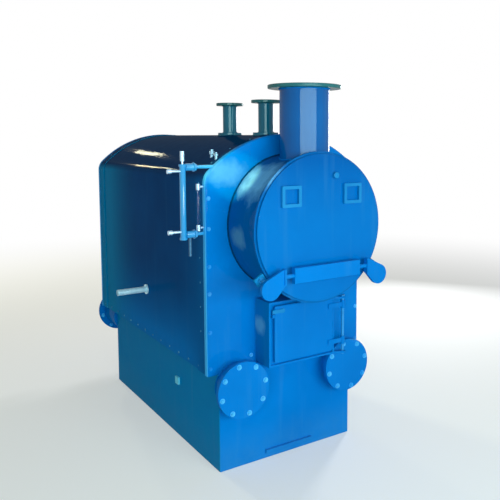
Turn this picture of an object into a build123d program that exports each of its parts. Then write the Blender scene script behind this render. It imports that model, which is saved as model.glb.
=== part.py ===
"""Solid-fuel packaged steam boiler: arch-topped casing, round smoke-box door and hinged fire door.

The origin lies on the floor under the middle of the base. +Z is up and the boiler's front faces -Y.
"""
import os
from math import cos, radians, sin, sqrt

from build123d import *

os.makedirs("parts", exist_ok=True)

# Base box that carries the boiler and holds the ash pit
base_width = 1136
base_length = 2170
base_height = 710
base_wall = 10
base_corner = 8
front = -base_length / 2
ash_floor_thickness = 8
sill_width = 400
sill_height = 24
sill_depth = 22
sill_low = 42
plug_y = 710
plug_z = 449
plug_width = 57
plug_depth = 16

# Arch-topped casing that stands on the base
casing_width = 1312
rear_overhang = 180
casing_length = base_length + rear_overhang
casing_low = base_height
side_height = 1375
crown_rise = 290
shoulder_height = casing_low + side_height
crown_height = shoulder_height + crown_rise
shoulder_radius = 120
jacket_inset = 8
jacket_wall = 12
crown_radius = ((casing_width / 2) ** 2 + crown_rise**2) / (2 * crown_rise)
crown_centre = crown_height - crown_radius
end_plate = 12
end_rim = 40
plate_edge = 14
casing_inside = casing_width - 2 * jacket_inset - 2 * jacket_wall
band_width = 120
band_wall = 5
floor_plate = 12

# Fire box low on the front plate, with the mouth that it frames
fire_half = 280
fire_sill = 42
fire_height = 462
fire_low = casing_low + fire_sill
fire_high = fire_low + fire_height
fire_depth = 194
fire_wall = 14
frame_depth = 176
frame_thickness = 14
mouth_half = 190
mouth_sill = 80
mouth_height = 300
mouth_low = fire_low + mouth_sill
mouth_high = mouth_low + mouth_height

# Smoke box over the fire box and its round door, with depths measured forward from the front plate
ring_radius = 516
ring_depth = 20
smoke_gap = 11
door_height = fire_high + smoke_gap + ring_radius
door_radius = 501
door_thickness = 12
door_front = 424
door_edge = 3
joint_gap = 4
smoke_radius = 486
smoke_wall = 10
door_back = door_front - door_thickness
ring_front = door_back - joint_gap
ring_back = ring_front - ring_depth
grip_width = 150
grip_height = 140
grip_bar = 22
grip_corner = 8
grip_x = 251
grip_rise = 225
grip_z = door_height + grip_rise
knob_x = 109
knob_rise = 353
knob_z = door_height + knob_rise
knob_radius = 22
knob_depth = 26
knob_edge = 7

# Clamp across the door: bar, an ear at each end, and the ring's lugs with their tie bolts
bar_drop = 285
bar_z = door_height - bar_drop
bar_height = 104
bar_length = 540
bar_stand_off = 44
bar_back = door_front + bar_stand_off
bar_depth = 40
bar_edge = 4
keeper_x = 170
keeper_width = 66
keeper_height = 70
shank_length = 64
shank_radius = 15
tab_x = bar_length / 2 + shank_length
tab_thickness = 12
ear_reach = 110
ear_x = tab_x + ear_reach
ear_drop = 70
ear_z = bar_z - ear_drop
ear_radius = 70
ear_inset = 8
ear_back = bar_back + ear_inset
ear_thickness = 24
tie_stand_off = 44
tie_reach = ring_radius + tie_stand_off
tie_angle = 33
tie_radius = 11
tie_x = tie_reach * cos(radians(tie_angle))
tie_z = door_height - tie_reach * sin(radians(tie_angle))
nut_radius = 20
nut_height = 16
lug_length = 74
lug_width = 56

# Flue outlet
flue_y = 214
flue_radius = 172
flue_wall = 8
flue_rise = 964
flue_top = door_height + flue_rise
flue_flange_radius = 254
flue_flange_thickness = 24
flue_bolt_reach = 230
flange_bolt_radius = 9
flange_edge = 4

# Steam outlets on the crown, each on a round pad
outlet_radius = 57.15
outlet_wall = 6.15
outlet_rise = 253
outlet_top = crown_height + outlet_rise
outlet_pad_radius = 98
outlet_pad_rise = 10
outlet_pad_high = crown_height + outlet_pad_rise
outlet_floor_depth = 5
outlet_floor = outlet_pad_high - outlet_floor_depth
outlet_flange_radius = 110
outlet_flange_thickness = 22
outlet_bolt_reach = 90
safety_y = 305
steam_y = 886

# Plugged stubs on the crown's left slope, each a short pipe with a collar round its top
stub_inset = 161
stub_x = casing_width / 2 - stub_inset
stub_y = 215
stub_length = 92
stub_radius = 14
collar_radius = 20
collar_height = 34
small_inset = 134
small_x = casing_width / 2 - small_inset
small_y = 96
small_length = 44
small_radius = 10
small_collar = 15
small_collar_height = 18

# Hinged fire door, which laps over the mouth, and its latch
door_lap_left = 50
door_lap_right = 68
door_lap_low = 48
door_lap_high = 54
fire_door_left = -mouth_half - door_lap_left
fire_door_right = mouth_half + door_lap_right
fire_door_low = mouth_low - door_lap_low
fire_door_high = mouth_high + door_lap_high
fire_door_gap = 8
fire_door_back = frame_depth + fire_door_gap
fire_door_thickness = 22
fire_door_corner = 12
fire_door_front = fire_door_back + fire_door_thickness
rod_stand_off = 70
rod_x = fire_half + rod_stand_off
rod_y = fire_door_front
rod_radius = 10
rod_length = 448
rod_drop = 10
rod_low = fire_low - rod_drop
rod_high = rod_low + rod_length
rod_clearance = 0.05
rod_head_radius = 16
rod_head_thickness = 10
knuckle_radius = 18
knuckle_length = 60
knuckle_inset = 66
knuckle_low_z = fire_door_low + knuckle_inset
knuckle_high_z = fire_door_high - knuckle_inset
strap_height = 34
strap_thickness = 8
strap_lap = 44
strap_start = fire_door_right - strap_lap
bracket_thickness = 14
bracket_radius = 22
bracket_root = 6
bracket_depth = 22
latch_drop = 36
latch_z = fire_door_high - latch_drop
latch_lap = 22
latch_left = fire_door_left - latch_lap
latch_length = 86
latch_height = 26
latch_thickness = 8
latch_boss_radius = 16
latch_gap = 6
latch_rest_height = 24
latch_rest_width = 16

# Bolted covers on the ends of both lower headers, each on a closed neck. The front ends stand beside the
# fire box, and the rear ones run on under the casing's overhang and stand out behind it.
cover_inset = 209
cover_x = casing_width / 2 - cover_inset
cover_drop = 94
cover_z = casing_low - cover_drop
cover_radius = 200
cover_front = 141
cover_thickness = 18
cover_edge = 3
neck_radius = 150
neck_wall = 8
neck_flange_thickness = 14

# Furnace behind the fire door
furnace_half = 400
furnace_wall = 60
furnace_length = 1500
furnace_low = casing_low + floor_plate
furnace_side = 358
furnace_rise = 250
furnace_spring = furnace_low + furnace_side
furnace_high = furnace_spring + furnace_rise
grate_thickness = 40
grate_clearance = 2
grate_width = 2 * (furnace_half - furnace_wall - grate_clearance)
grate_start = 60
grate_length = furnace_length - furnace_wall - grate_start
grate_ledge = 30
grate_border = 60
grate_slots = 12
grate_pitch = (grate_width - 2 * grate_ledge) / grate_slots
grate_gap = 22

# Water level column on the left side, with its links, cocks and gauge glass
column_stand_off = 143
column_x = casing_width / 2 + column_stand_off
column_y = 34
column_radius = 20
column_rise = 87
column_length = 502
column_high = shoulder_height + column_rise
column_low = column_high - column_length
cap_radius = 25
cap_height = 16
link_high_inset = 20
link_low_inset = 33
link_high = column_high - link_high_inset
link_low = column_low + link_low_inset
link_radius = 12
valve_stand_off = 96
valve_x = casing_width / 2 + valve_stand_off
valve_radius = 24
valve_length = 54
drain_length = 147
drain_radius = 10
cock_high_inset = 46
cock_low_inset = 54
cock_high = column_high - cock_high_inset
cock_low = column_low + cock_low_inset
cock_radius = 9
cock_length = 106
cock_knob_radius = 15
cock_knob_length = 26
vent_radius = 7
vent_height = 85
vent_knob_height = 65
gauge_stand_off = 34
gauge_x = casing_width / 2 + gauge_stand_off
gauge_radius = 8
gauge_inset = 92
gauge_length = 236
gauge_low = column_low + gauge_inset
gauge_high = gauge_low + gauge_length
fitting_radius = 14
fitting_length = 40
arm_radius = 9

# Feed stub on the left side
feed_y = 1132
feed_rise = 395
feed_z = casing_low + feed_rise
feed_radius = 24.15
feed_wall = 3.25
feed_reach = 246
feed_pad_radius = 40
feed_pad = 14


with BuildPart() as base_box:
    with BuildSketch():
        RectangleRounded(base_width, base_length, base_corner)
        Rectangle(base_width - 2 * base_wall, base_length - 2 * base_wall, mode=Mode.SUBTRACT)
    extrude(amount=base_height)
base_box.part.label = "base_box"
export_step(base_box.part, "parts/base_box.step")


with BuildPart() as ash_floor:
    with BuildSketch():
        Rectangle(base_width - 2 * base_wall, base_length - 2 * base_wall)
    extrude(amount=ash_floor_thickness)
ash_floor.part.label = "ash_floor"
export_step(ash_floor.part, "parts/ash_floor.step")


with BuildPart() as base_sill:
    with BuildSketch(Plane.XY.offset(sill_low)):
        with Locations((0, front - sill_depth / 2)):
            Rectangle(sill_width, sill_depth)
    extrude(amount=sill_height)
base_sill.part.label = "base_sill"
export_step(base_sill.part, "parts/base_sill.step")


with BuildPart() as base_plug:
    with BuildSketch(Plane.YZ.offset(-base_width / 2)):
        with Locations((front + plug_y, plug_z)):
            Rectangle(plug_width, plug_width)
    extrude(amount=-plug_depth)
base_plug.part.label = "base_plug"
export_step(base_plug.part, "parts/base_plug.step")


# Cross-section of the casing, drawn flat, that the jacket, its bands and the two end plates share
with BuildSketch() as casing_section:
    with BuildLine():
        Polyline(
            (-casing_width / 2, shoulder_height),
            (-casing_width / 2, casing_low),
            (casing_width / 2, casing_low),
            (casing_width / 2, shoulder_height),
        )
        ThreePointArc(
            (casing_width / 2, shoulder_height),
            (0, crown_height),
            (-casing_width / 2, shoulder_height),
        )
    make_face()
    fillet(casing_section.vertices().sort_by(Axis.Y)[-2:], shoulder_radius)

with BuildSketch() as jacket_section:
    add(casing_section.sketch)
    offset(amount=-jacket_inset, kind=Kind.INTERSECTION, mode=Mode.REPLACE)

with BuildSketch() as jacket_core:
    add(jacket_section.sketch)
    offset(amount=-jacket_wall, kind=Kind.INTERSECTION, mode=Mode.REPLACE)

with BuildSketch() as band_section:
    add(jacket_section.sketch)
    offset(amount=band_wall, kind=Kind.INTERSECTION, mode=Mode.REPLACE)

with BuildSketch() as plate_core:
    add(casing_section.sketch)
    offset(amount=-end_plate, kind=Kind.INTERSECTION, mode=Mode.REPLACE)


with BuildPart() as front_plate:
    with BuildSketch(Plane.XZ.offset(-front)):
        add(casing_section.sketch)
    extrude(amount=-end_rim)
    fillet(front_plate.edges().group_by(Axis.Y)[0].sort_by(Axis.Z)[1:], plate_edge)
    with BuildSketch(Plane.XZ.offset(-front - end_plate)):
        add(plate_core.sketch)
    extrude(amount=-end_rim, mode=Mode.SUBTRACT)
    with BuildSketch(Plane.XZ.offset(-front)):
        with Locations((0, (mouth_low + mouth_high) / 2)):
            Rectangle(2 * mouth_half, mouth_high - mouth_low)
    extrude(amount=-end_plate, mode=Mode.SUBTRACT)
front_plate.part.label = "front_plate"
export_step(front_plate.part, "parts/front_plate.step")


with BuildPart() as rear_plate:
    with BuildSketch(Plane.XZ.offset(-front - casing_length)):
        add(casing_section.sketch)
    extrude(amount=end_rim)
    fillet(rear_plate.edges().group_by(Axis.Y)[-1].sort_by(Axis.Z)[1:], plate_edge)
    with BuildSketch(Plane.XZ.offset(-front - casing_length + end_plate)):
        add(plate_core.sketch)
    extrude(amount=end_rim, mode=Mode.SUBTRACT)
rear_plate.part.label = "rear_plate"
export_step(rear_plate.part, "parts/rear_plate.step")


with BuildPart() as jacket:
    with BuildSketch(Plane.XZ.offset(-front - end_rim)):
        add(jacket_section.sketch)
        add(jacket_core.sketch, mode=Mode.SUBTRACT)
        with Locations((0, casing_low)):
            Rectangle(casing_inside, 4 * jacket_wall, mode=Mode.SUBTRACT)
    extrude(amount=2 * end_rim - casing_length)
jacket.part.label = "jacket"
export_step(jacket.part, "parts/jacket.step")


with BuildPart() as jacket_bands:
    for start in (front + end_rim, front + casing_length - end_rim - band_width):
        with BuildSketch(Plane.XZ.offset(-start)):
            add(band_section.sketch)
            add(jacket_section.sketch, mode=Mode.SUBTRACT)
            with Locations((0, casing_low)):
                Rectangle(casing_width - 2 * jacket_inset, 4 * jacket_wall, mode=Mode.SUBTRACT)
        extrude(amount=-band_width)
jacket_bands.part.label = "jacket_bands"
export_step(jacket_bands.part, "parts/jacket_bands.step")


with BuildPart() as casing_floor:
    with BuildSketch(Plane.XY.offset(casing_low)):
        with Locations((0, front + casing_length / 2)):
            Rectangle(casing_inside, casing_length - 2 * end_rim)
        with Locations((0, front + grate_start + grate_length / 2)):
            Rectangle(grate_width - 2 * grate_ledge, grate_length - 2 * grate_ledge, mode=Mode.SUBTRACT)
    extrude(amount=floor_plate)
casing_floor.part.label = "casing_floor"
export_step(casing_floor.part, "parts/casing_floor.step")


with BuildPart() as furnace_lining:
    for inset, mode in ((0, Mode.ADD), (furnace_wall, Mode.SUBTRACT)):
        with BuildSketch(Plane.XZ.offset(-front - end_plate)):
            with BuildLine():
                Polyline(
                    (inset - furnace_half, furnace_spring),
                    (inset - furnace_half, furnace_low),
                    (furnace_half - inset, furnace_low),
                    (furnace_half - inset, furnace_spring),
                )
                ThreePointArc(
                    (furnace_half - inset, furnace_spring),
                    (0, furnace_high - inset),
                    (inset - furnace_half, furnace_spring),
                )
            make_face()
        extrude(amount=inset - furnace_length, mode=mode)
furnace_lining.part.label = "furnace_lining"
export_step(furnace_lining.part, "parts/furnace_lining.step")


with BuildPart() as smoke_box:
    with BuildSketch(Plane.XZ.offset(-front)):
        with Locations((0, door_height)):
            Circle(smoke_radius)
            Circle(smoke_radius - smoke_wall, mode=Mode.SUBTRACT)
    extrude(amount=ring_back)
    with BuildSketch(Plane.XY.offset(door_height)):
        with Locations((0, front - flue_y)):
            Circle(flue_radius - flue_wall)
    extrude(amount=smoke_radius, mode=Mode.SUBTRACT)
smoke_box.part.label = "smoke_box"
export_step(smoke_box.part, "parts/smoke_box.step")


with BuildPart() as smoke_box_ring:
    with BuildSketch(Plane.XZ.offset(-front + ring_back)):
        with Locations((0, door_height)):
            Circle(ring_radius)
            Circle(smoke_radius - smoke_wall, mode=Mode.SUBTRACT)
    extrude(amount=ring_depth)
smoke_box_ring.part.label = "smoke_box_ring"
export_step(smoke_box_ring.part, "parts/smoke_box_ring.step")


with BuildPart() as door_gasket:
    with BuildSketch(Plane.XZ.offset(-front + ring_front)):
        with Locations((0, door_height)):
            Circle(smoke_radius)
            Circle(smoke_radius - smoke_wall, mode=Mode.SUBTRACT)
    extrude(amount=joint_gap)
door_gasket.part.label = "door_gasket"
export_step(door_gasket.part, "parts/door_gasket.step")


with BuildPart() as smoke_door:
    with BuildSketch(Plane.XZ.offset(-front + door_back)):
        with Locations((0, door_height)):
            Circle(door_radius)
    extrude(amount=door_thickness)
    fillet(smoke_door.edges().group_by(Axis.Y)[0], door_edge)
smoke_door.part.label = "smoke_door"
export_step(smoke_door.part, "parts/smoke_door.step")


with BuildPart() as door_grips:
    with BuildSketch(Plane.XZ.offset(-front + door_front)):
        with Locations((-grip_x, grip_z), (grip_x, grip_z)):
            RectangleRounded(grip_width, grip_height, grip_corner)
            Rectangle(grip_width - 2 * grip_bar, grip_height - 2 * grip_bar, mode=Mode.SUBTRACT)
    extrude(amount=grip_bar)
door_grips.part.label = "door_grips"
export_step(door_grips.part, "parts/door_grips.step")


with BuildPart() as door_knob:
    with BuildSketch(Plane.XZ.offset(-front + door_front)):
        with Locations((knob_x, knob_z)):
            Circle(knob_radius)
    extrude(amount=knob_depth)
    fillet(door_knob.edges().group_by(Axis.Y)[0], knob_edge)
door_knob.part.label = "door_knob"
export_step(door_knob.part, "parts/door_knob.step")


with BuildPart() as clamp_bar:
    with BuildSketch(Plane.XZ.offset(-front + bar_back)):
        with Locations((0, bar_z)):
            Rectangle(bar_length, bar_height)
    extrude(amount=bar_depth)
    fillet(clamp_bar.edges().group_by(Axis.Y)[0], bar_edge)
clamp_bar.part.label = "clamp_bar"
export_step(clamp_bar.part, "parts/clamp_bar.step")


with BuildPart() as bar_keepers:
    with BuildSketch(Plane.XZ.offset(-front + door_front)):
        with Locations((-keeper_x, bar_z), (keeper_x, bar_z)):
            Rectangle(keeper_width, keeper_height)
    extrude(amount=bar_back - door_front)
bar_keepers.part.label = "bar_keepers"
export_step(bar_keepers.part, "parts/bar_keepers.step")


# Each ear is a flat paddle that narrows to an upright tab, and a round shank joins the tab to the bar's end
with BuildPart() as clamp_ears:
    for side in (-1, 1):
        tab_middle = side * (tab_x + tab_thickness / 2)
        with BuildSketch(Plane.XZ.offset(-front + ear_back)):
            with Locations((side * ear_x, ear_z)):
                Circle(ear_radius)
            with Locations((tab_middle, bar_z)):
                Rectangle(tab_thickness, bar_height)
            make_hull()
        extrude(amount=ear_thickness)
        with BuildSketch(Plane.XZ.offset(-front + bar_back)):
            with Locations((tab_middle, bar_z)):
                Rectangle(tab_thickness, bar_height)
        extrude(amount=bar_depth)
        with BuildSketch(Plane.YZ.offset(side * bar_length / 2)):
            with Locations((front - bar_back - bar_depth / 2, bar_z)):
                Circle(shank_radius)
        extrude(amount=side * shank_length)
clamp_ears.part.label = "clamp_ears"
export_step(clamp_ears.part, "parts/clamp_ears.step")


with BuildPart() as clamp_lugs:
    with BuildSketch(Plane.XZ.offset(-front + ring_back)):
        for side in (-1, 1):
            with Locations((side * tie_x, tie_z)):
                Rectangle(lug_length, lug_width, rotation=-side * tie_angle)
        with Locations((0, door_height)):
            Circle(ring_radius, mode=Mode.SUBTRACT)
    extrude(amount=ring_depth)
clamp_lugs.part.label = "clamp_lugs"
export_step(clamp_lugs.part, "parts/clamp_lugs.step")


with BuildPart() as tie_bolts:
    with BuildSketch(Plane.XZ.offset(-front + ring_front)):
        with Locations((-tie_x, tie_z), (tie_x, tie_z)):
            Circle(tie_radius)
    extrude(amount=ear_back - ring_front)
    with BuildSketch(Plane.XZ.offset(-front + ring_front)):
        with Locations((-tie_x, tie_z), (tie_x, tie_z)):
            RegularPolygon(nut_radius, 6)
    extrude(amount=nut_height)
tie_bolts.part.label = "tie_bolts"
export_step(tie_bolts.part, "parts/tie_bolts.step")


with BuildPart() as flue_pipe:
    with BuildSketch(Plane.XY.offset(door_height)):
        with Locations((0, front - flue_y)):
            Circle(flue_radius)
    extrude(amount=flue_top - flue_flange_thickness - door_height)
    with BuildSketch(Plane.XY.offset(door_height)):
        with Locations((0, front - flue_y)):
            Circle(flue_radius - flue_wall)
    extrude(amount=flue_top - door_height, mode=Mode.SUBTRACT)
    with BuildSketch(Plane.XZ.offset(-front)):
        with Locations((0, door_height)):
            Circle(smoke_radius)
    extrude(amount=2 * flue_y, mode=Mode.SUBTRACT)
flue_pipe.part.label = "flue_pipe"
export_step(flue_pipe.part, "parts/flue_pipe.step")


with BuildPart() as flue_flange:
    with BuildSketch(Plane.XY.offset(flue_top - flue_flange_thickness)):
        with Locations((0, front - flue_y)):
            Circle(flue_flange_radius)
    extrude(amount=flue_flange_thickness)
    fillet(flue_flange.edges().filter_by(GeomType.CIRCLE), flange_edge)
    with BuildSketch(Plane.XY.offset(flue_top)):
        with Locations((0, front - flue_y)):
            Circle(flue_radius - flue_wall)
            with PolarLocations(flue_bolt_reach, 12):
                Circle(flange_bolt_radius)
    extrude(amount=-flue_flange_thickness, mode=Mode.SUBTRACT)
flue_flange.part.label = "flue_flange"
export_step(flue_flange.part, "parts/flue_flange.step")


# Each outlet pipe stands on its pad, whose underside follows the casing's crown
for outlet_name, outlet_y in (("safety_outlet", safety_y), ("steam_outlet", steam_y)):
    with BuildPart() as outlet:
        with BuildSketch(Plane.XY.offset(shoulder_height)):
            with Locations((0, front + outlet_y)):
                Circle(outlet_radius)
        extrude(amount=outlet_top - outlet_flange_thickness - shoulder_height)
        with BuildSketch(Plane.XY.offset(shoulder_height)):
            with Locations((0, front + outlet_y)):
                Circle(outlet_pad_radius)
        extrude(amount=outlet_pad_high - shoulder_height)
        with BuildSketch(Plane.XY.offset(outlet_floor)):
            with Locations((0, front + outlet_y)):
                Circle(outlet_radius - outlet_wall)
        extrude(amount=outlet_top - outlet_floor, mode=Mode.SUBTRACT)
        with BuildSketch(Plane.XZ.offset(-front)):
            add(jacket_section.sketch)
        extrude(amount=-casing_length, mode=Mode.SUBTRACT)
    outlet.part.label = outlet_name
    export_step(outlet.part, f"parts/{outlet_name}.step")


for flange_name, flange_y in (("safety_flange", safety_y), ("steam_flange", steam_y)):
    with BuildPart() as flange:
        with BuildSketch(Plane.XY.offset(outlet_top - outlet_flange_thickness)):
            with Locations((0, front + flange_y)):
                Circle(outlet_flange_radius)
        extrude(amount=outlet_flange_thickness)
        fillet(flange.edges().filter_by(GeomType.CIRCLE), flange_edge)
        with BuildSketch(Plane.XY.offset(outlet_top)):
            with Locations((0, front + flange_y)):
                Circle(outlet_radius - outlet_wall)
                with PolarLocations(outlet_bolt_reach, 8, start_angle=22.5):
                    Circle(flange_bolt_radius)
        extrude(amount=-outlet_flange_thickness, mode=Mode.SUBTRACT)
    flange.part.label = flange_name
    export_step(flange.part, f"parts/{flange_name}.step")


# The stubs start under the crown's sheet, which trims them to its own curve
with BuildPart() as crown_stubs:
    for stub_across, stub_along, length, radius, collar, collar_length in (
        (stub_x, stub_y, stub_length, stub_radius, collar_radius, collar_height),
        (small_x, small_y, small_length, small_radius, small_collar, small_collar_height),
    ):
        slope_height = crown_centre + sqrt(crown_radius**2 - stub_across**2)
        with BuildSketch(Plane.XY.offset(slope_height + length)):
            with Locations((-stub_across, front + stub_along)):
                Circle(collar)
        extrude(amount=-collar_length)
        with BuildSketch(Plane.XY.offset(slope_height + length)):
            with Locations((-stub_across, front + stub_along)):
                Circle(radius)
        extrude(amount=-2 * length)
    for section, start, reach in (
        (jacket_section, front, casing_length),
        (band_section, front + end_rim, band_width),
    ):
        with BuildSketch(Plane.XZ.offset(-start)):
            add(section.sketch)
        extrude(amount=-reach, mode=Mode.SUBTRACT)
crown_stubs.part.label = "crown_stubs"
export_step(crown_stubs.part, "parts/crown_stubs.step")


with BuildPart() as fire_box:
    with BuildSketch(Plane.XZ.offset(-front)):
        with Locations((0, (fire_low + fire_high) / 2)):
            Rectangle(2 * fire_half, fire_high - fire_low)
            Rectangle(2 * (fire_half - fire_wall), fire_high - fire_low - 2 * fire_wall, mode=Mode.SUBTRACT)
    extrude(amount=fire_depth)
fire_box.part.label = "fire_box"
export_step(fire_box.part, "parts/fire_box.step")


with BuildPart() as fire_frame:
    with BuildSketch(Plane.XZ.offset(-front + frame_depth - frame_thickness)):
        with Locations((0, (fire_low + fire_high) / 2)):
            Rectangle(2 * (fire_half - fire_wall), fire_high - fire_low - 2 * fire_wall)
        with Locations((0, (mouth_low + mouth_high) / 2)):
            Rectangle(2 * mouth_half, mouth_high - mouth_low, mode=Mode.SUBTRACT)
    extrude(amount=frame_thickness)
fire_frame.part.label = "fire_frame"
export_step(fire_frame.part, "parts/fire_frame.step")


with BuildPart() as fire_grate:
    with BuildSketch(Plane.XY.offset(furnace_low)):
        with Locations((0, front + grate_start + grate_length / 2)):
            Rectangle(grate_width, grate_length)
            with GridLocations(grate_pitch, 0, grate_slots, 1):
                SlotOverall(grate_length - 2 * grate_border, grate_gap, rotation=90, mode=Mode.SUBTRACT)
    extrude(amount=grate_thickness)
fire_grate.part.label = "fire_grate"
export_step(fire_grate.part, "parts/fire_grate.step")


with BuildPart() as hinge_brackets:
    for low in (rod_high - rod_head_thickness - bracket_thickness, rod_low + rod_head_thickness):
        with BuildSketch(Plane.XY.offset(low)):
            with Locations((rod_x, front - rod_y)):
                Circle(bracket_radius)
            with Locations((fire_half, front - fire_depth)):
                Rectangle(bracket_root, bracket_depth, align=(Align.MIN, Align.MIN))
            make_hull()
            with Locations((rod_x, front - rod_y)):
                Circle(rod_radius + rod_clearance, mode=Mode.SUBTRACT)
        extrude(amount=bracket_thickness)
hinge_brackets.part.label = "hinge_brackets"
export_step(hinge_brackets.part, "parts/hinge_brackets.step")


with BuildPart() as hinge_rod:
    with BuildSketch(Plane.XY.offset(rod_low)):
        with Locations((rod_x, front - rod_y)):
            Circle(rod_radius)
    extrude(amount=rod_high - rod_low)
    with BuildSketch(Plane.XY.offset(rod_high - rod_head_thickness)):
        with Locations((rod_x, front - rod_y)):
            Circle(rod_head_radius)
    extrude(amount=rod_head_thickness)
hinge_rod.part.label = "hinge_rod"
export_step(hinge_rod.part, "parts/hinge_rod.step")


with BuildPart() as fire_door:
    with BuildSketch(Plane.XZ.offset(-front + fire_door_back)):
        with Locations(((fire_door_left + fire_door_right) / 2, (fire_door_low + fire_door_high) / 2)):
            RectangleRounded(
                fire_door_right - fire_door_left,
                fire_door_high - fire_door_low,
                fire_door_corner,
            )
    extrude(amount=fire_door_thickness)
    fillet(fire_door.edges().group_by(Axis.Y)[0], door_edge)
fire_door.part.label = "fire_door"
export_step(fire_door.part, "parts/fire_door.step")


with BuildPart() as door_straps:
    for middle in (knuckle_low_z, knuckle_high_z):
        with BuildSketch(Plane.XZ.offset(-front + fire_door_front)):
            with Locations((strap_start, middle)):
                Rectangle(rod_x - strap_start, strap_height, align=(Align.MIN, Align.CENTER))
        extrude(amount=strap_thickness)
        with BuildSketch(Plane.XY.offset(middle - knuckle_length / 2)):
            with Locations((rod_x, front - rod_y)):
                Circle(knuckle_radius)
        extrude(amount=knuckle_length)
    with BuildSketch(Plane.XY.offset(rod_low)):
        with Locations((rod_x, front - rod_y)):
            Circle(rod_radius + rod_clearance)
    extrude(amount=rod_high - rod_low, mode=Mode.SUBTRACT)
door_straps.part.label = "door_straps"
export_step(door_straps.part, "parts/door_straps.step")


# The latch's tongue reaches over the frame, above a rest that stands on the frame
with BuildPart() as door_latch:
    with BuildSketch(Plane.XZ.offset(-front + fire_door_front)):
        with Locations((latch_left, latch_z)):
            Rectangle(latch_length, latch_height, align=(Align.MIN, Align.CENTER))
        with Locations((latch_left + latch_length, latch_z)):
            Circle(latch_boss_radius)
    extrude(amount=latch_thickness)
door_latch.part.label = "door_latch"
export_step(door_latch.part, "parts/door_latch.step")


with BuildPart() as latch_rest:
    with BuildSketch(Plane.XZ.offset(-front + frame_depth)):
        with Locations((latch_left, latch_z - latch_height / 2 - latch_gap)):
            Rectangle(latch_rest_width, latch_rest_height, align=(Align.MIN, Align.MAX))
    extrude(amount=fire_door_front + latch_thickness - frame_depth)
latch_rest.part.label = "latch_rest"
export_step(latch_rest.part, "parts/latch_rest.step")


# Each neck is a closed cup with a flange, turned about the cover's middle line. The rear necks start at the
# base box, and the casing cuts off what would reach into it.
with BuildPart() as header_necks:
    neck_front = cover_front - cover_thickness
    for side, start, heading, neck_end in (
        (-1, front, -1, neck_front),
        (1, front, -1, neck_front),
        (-1, front + base_length, 1, rear_overhang + neck_front),
        (1, front + base_length, 1, rear_overhang + neck_front),
    ):
        neck_plane = Plane(origin=(side * cover_x, start, cover_z), x_dir=(0, heading, 0), z_dir=(1, 0, 0))
        with BuildSketch(neck_plane):
            with BuildLine():
                Polyline(
                    (0, 0),
                    (0, neck_radius),
                    (neck_end - neck_flange_thickness, neck_radius),
                    (neck_end - neck_flange_thickness, cover_radius),
                    (neck_end, cover_radius),
                    (neck_end, neck_radius - neck_wall),
                    (neck_wall, neck_radius - neck_wall),
                    (neck_wall, 0),
                    close=True,
                )
            make_face()
        revolve(axis=Axis((side * cover_x, start, cover_z), (0, heading, 0)))
    with BuildSketch(Plane.XY.offset(casing_low)):
        with Locations((0, front + base_length)):
            Rectangle(casing_width, rear_overhang, align=(Align.CENTER, Align.MIN))
    extrude(amount=neck_radius, mode=Mode.SUBTRACT)
header_necks.part.label = "header_necks"
export_step(header_necks.part, "parts/header_necks.step")


with BuildPart() as header_covers:
    for cover_face in (cover_front - cover_thickness, -casing_length - cover_front):
        with BuildSketch(Plane.XZ.offset(-front + cover_face)):
            with Locations((-cover_x, cover_z), (cover_x, cover_z)):
                Circle(cover_radius)
        extrude(amount=cover_thickness)
    fillet(header_covers.edges().group_by(Axis.Y)[0], cover_edge)
    fillet(header_covers.edges().group_by(Axis.Y)[-1], cover_edge)
header_covers.part.label = "header_covers"
export_step(header_covers.part, "parts/header_covers.step")


with BuildPart() as level_column:
    for radius, low, high in (
        (column_radius, column_low, column_high),
        (cap_radius, column_low, column_low + cap_height),
        (cap_radius, column_high - cap_height, column_high),
    ):
        with BuildSketch(Plane.XY.offset(low)):
            with Locations((-column_x, front + column_y)):
                Circle(radius)
        extrude(amount=high - low)
level_column.part.label = "level_column"
export_step(level_column.part, "parts/level_column.step")


# Two links with a valve body each run from the column into the casing's side
with BuildPart() as column_links:
    for height in (link_high, link_low):
        with BuildSketch(Plane.YZ.offset(-column_x)):
            with Locations((front + column_y, height)):
                Circle(link_radius)
        extrude(amount=column_x)
        with BuildSketch(Plane.YZ.offset(-valve_x - valve_length / 2)):
            with Locations((front + column_y, height)):
                Circle(valve_radius)
        extrude(amount=valve_length)
    add(level_column.part, mode=Mode.SUBTRACT)
    with BuildSketch(Plane.XZ.offset(-front)):
        add(casing_section.sketch)
    extrude(amount=-casing_length, mode=Mode.SUBTRACT)
column_links.part.label = "column_links"
export_step(column_links.part, "parts/column_links.step")


with BuildPart() as column_drain:
    with BuildSketch(Plane.XY.offset(link_low)):
        with Locations((-valve_x, front + column_y)):
            Circle(drain_radius)
    extrude(amount=-drain_length)
    add(column_links.part, mode=Mode.SUBTRACT)
column_drain.part.label = "column_drain"
export_step(column_drain.part, "parts/column_drain.step")


with BuildPart() as gauge_glass:
    with BuildSketch(Plane.XY.offset(gauge_low)):
        with Locations((-gauge_x, front + column_y)):
            Circle(gauge_radius)
    extrude(amount=gauge_high - gauge_low)
gauge_glass.part.label = "gauge_glass"
export_step(gauge_glass.part, "parts/gauge_glass.step")


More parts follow.
